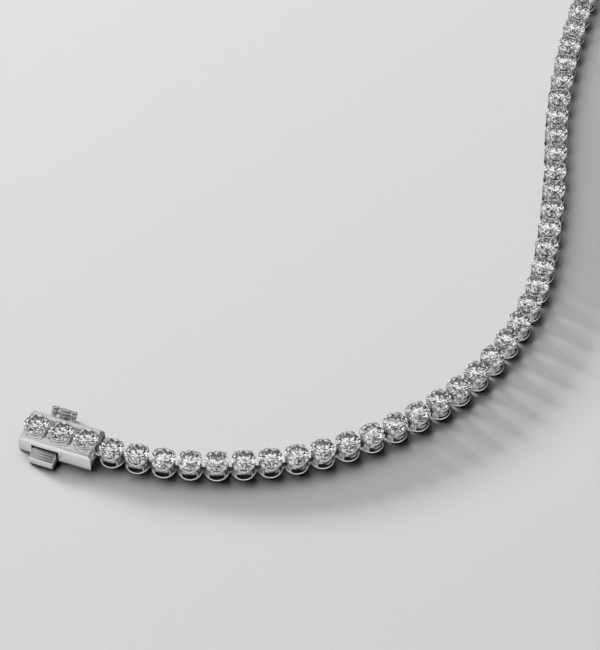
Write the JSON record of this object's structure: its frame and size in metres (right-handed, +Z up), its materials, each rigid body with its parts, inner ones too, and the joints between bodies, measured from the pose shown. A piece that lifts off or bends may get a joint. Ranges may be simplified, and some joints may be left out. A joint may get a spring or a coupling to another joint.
{
  "type": "tennis bracelet with box clasp",
  "caption": "Tennis bracelet lying open: a strand of round brilliants in scalloped cups, with a box clasp, side safety latch and tongue.",
  "frame": {"origin": "middle of the flat underside of the clasp box", "axes": "+X along the clasp box from its mouth to the first link, +Y towards the safety latch's hinge, +Z up"},
  "size_m": [0.0677, 0.1479, 0.0043],
  "materials": {
    "white_gold": "polished white gold, with round brilliants set in it"
  },
  "bodies": {
    "root": {"clasp_box": "white_gold", "hinge_pin": "white_gold", "link_01": "white_gold", "link_02": "white_gold", "link_03": "white_gold", "link_04": "white_gold", "link_05": "white_gold", "link_06": "white_gold", "link_07": "white_gold", "link_08": "white_gold", "link_09": "white_gold", "link_10": "white_gold", "link_11": "white_gold", "link_12": "white_gold", "link_13": "white_gold", "link_14": "white_gold", "link_15": "white_gold", "link_16": "white_gold", "link_17": "white_gold", "link_18": "white_gold", "link_19": "white_gold", "link_20": "white_gold", "link_21": "white_gold", "link_22": "white_gold", "link_23": "white_gold", "link_24": "white_gold", "link_25": "white_gold", "link_26": "white_gold", "link_27": "white_gold", "link_28": "white_gold", "link_29": "white_gold", "link_30": "white_gold", "link_31": "white_gold", "link_32": "white_gold", "link_33": "white_gold", "link_34": "white_gold", "link_35": "white_gold", "link_36": "white_gold", "link_37": "white_gold", "link_38": "white_gold", "link_39": "white_gold", "link_40": "white_gold", "tongue": "white_gold"},
    "latch": {"safety_latch": "white_gold"}
  },
  "joints": [
    {"name": "safety_latch_hinge", "type": "hinge", "parent": "root", "child": "latch", "pos_m": [-0.0016, 0.0049, 0.0017], "axis": [1, 0, 0], "range_deg": [0, 100]}
  ]
}
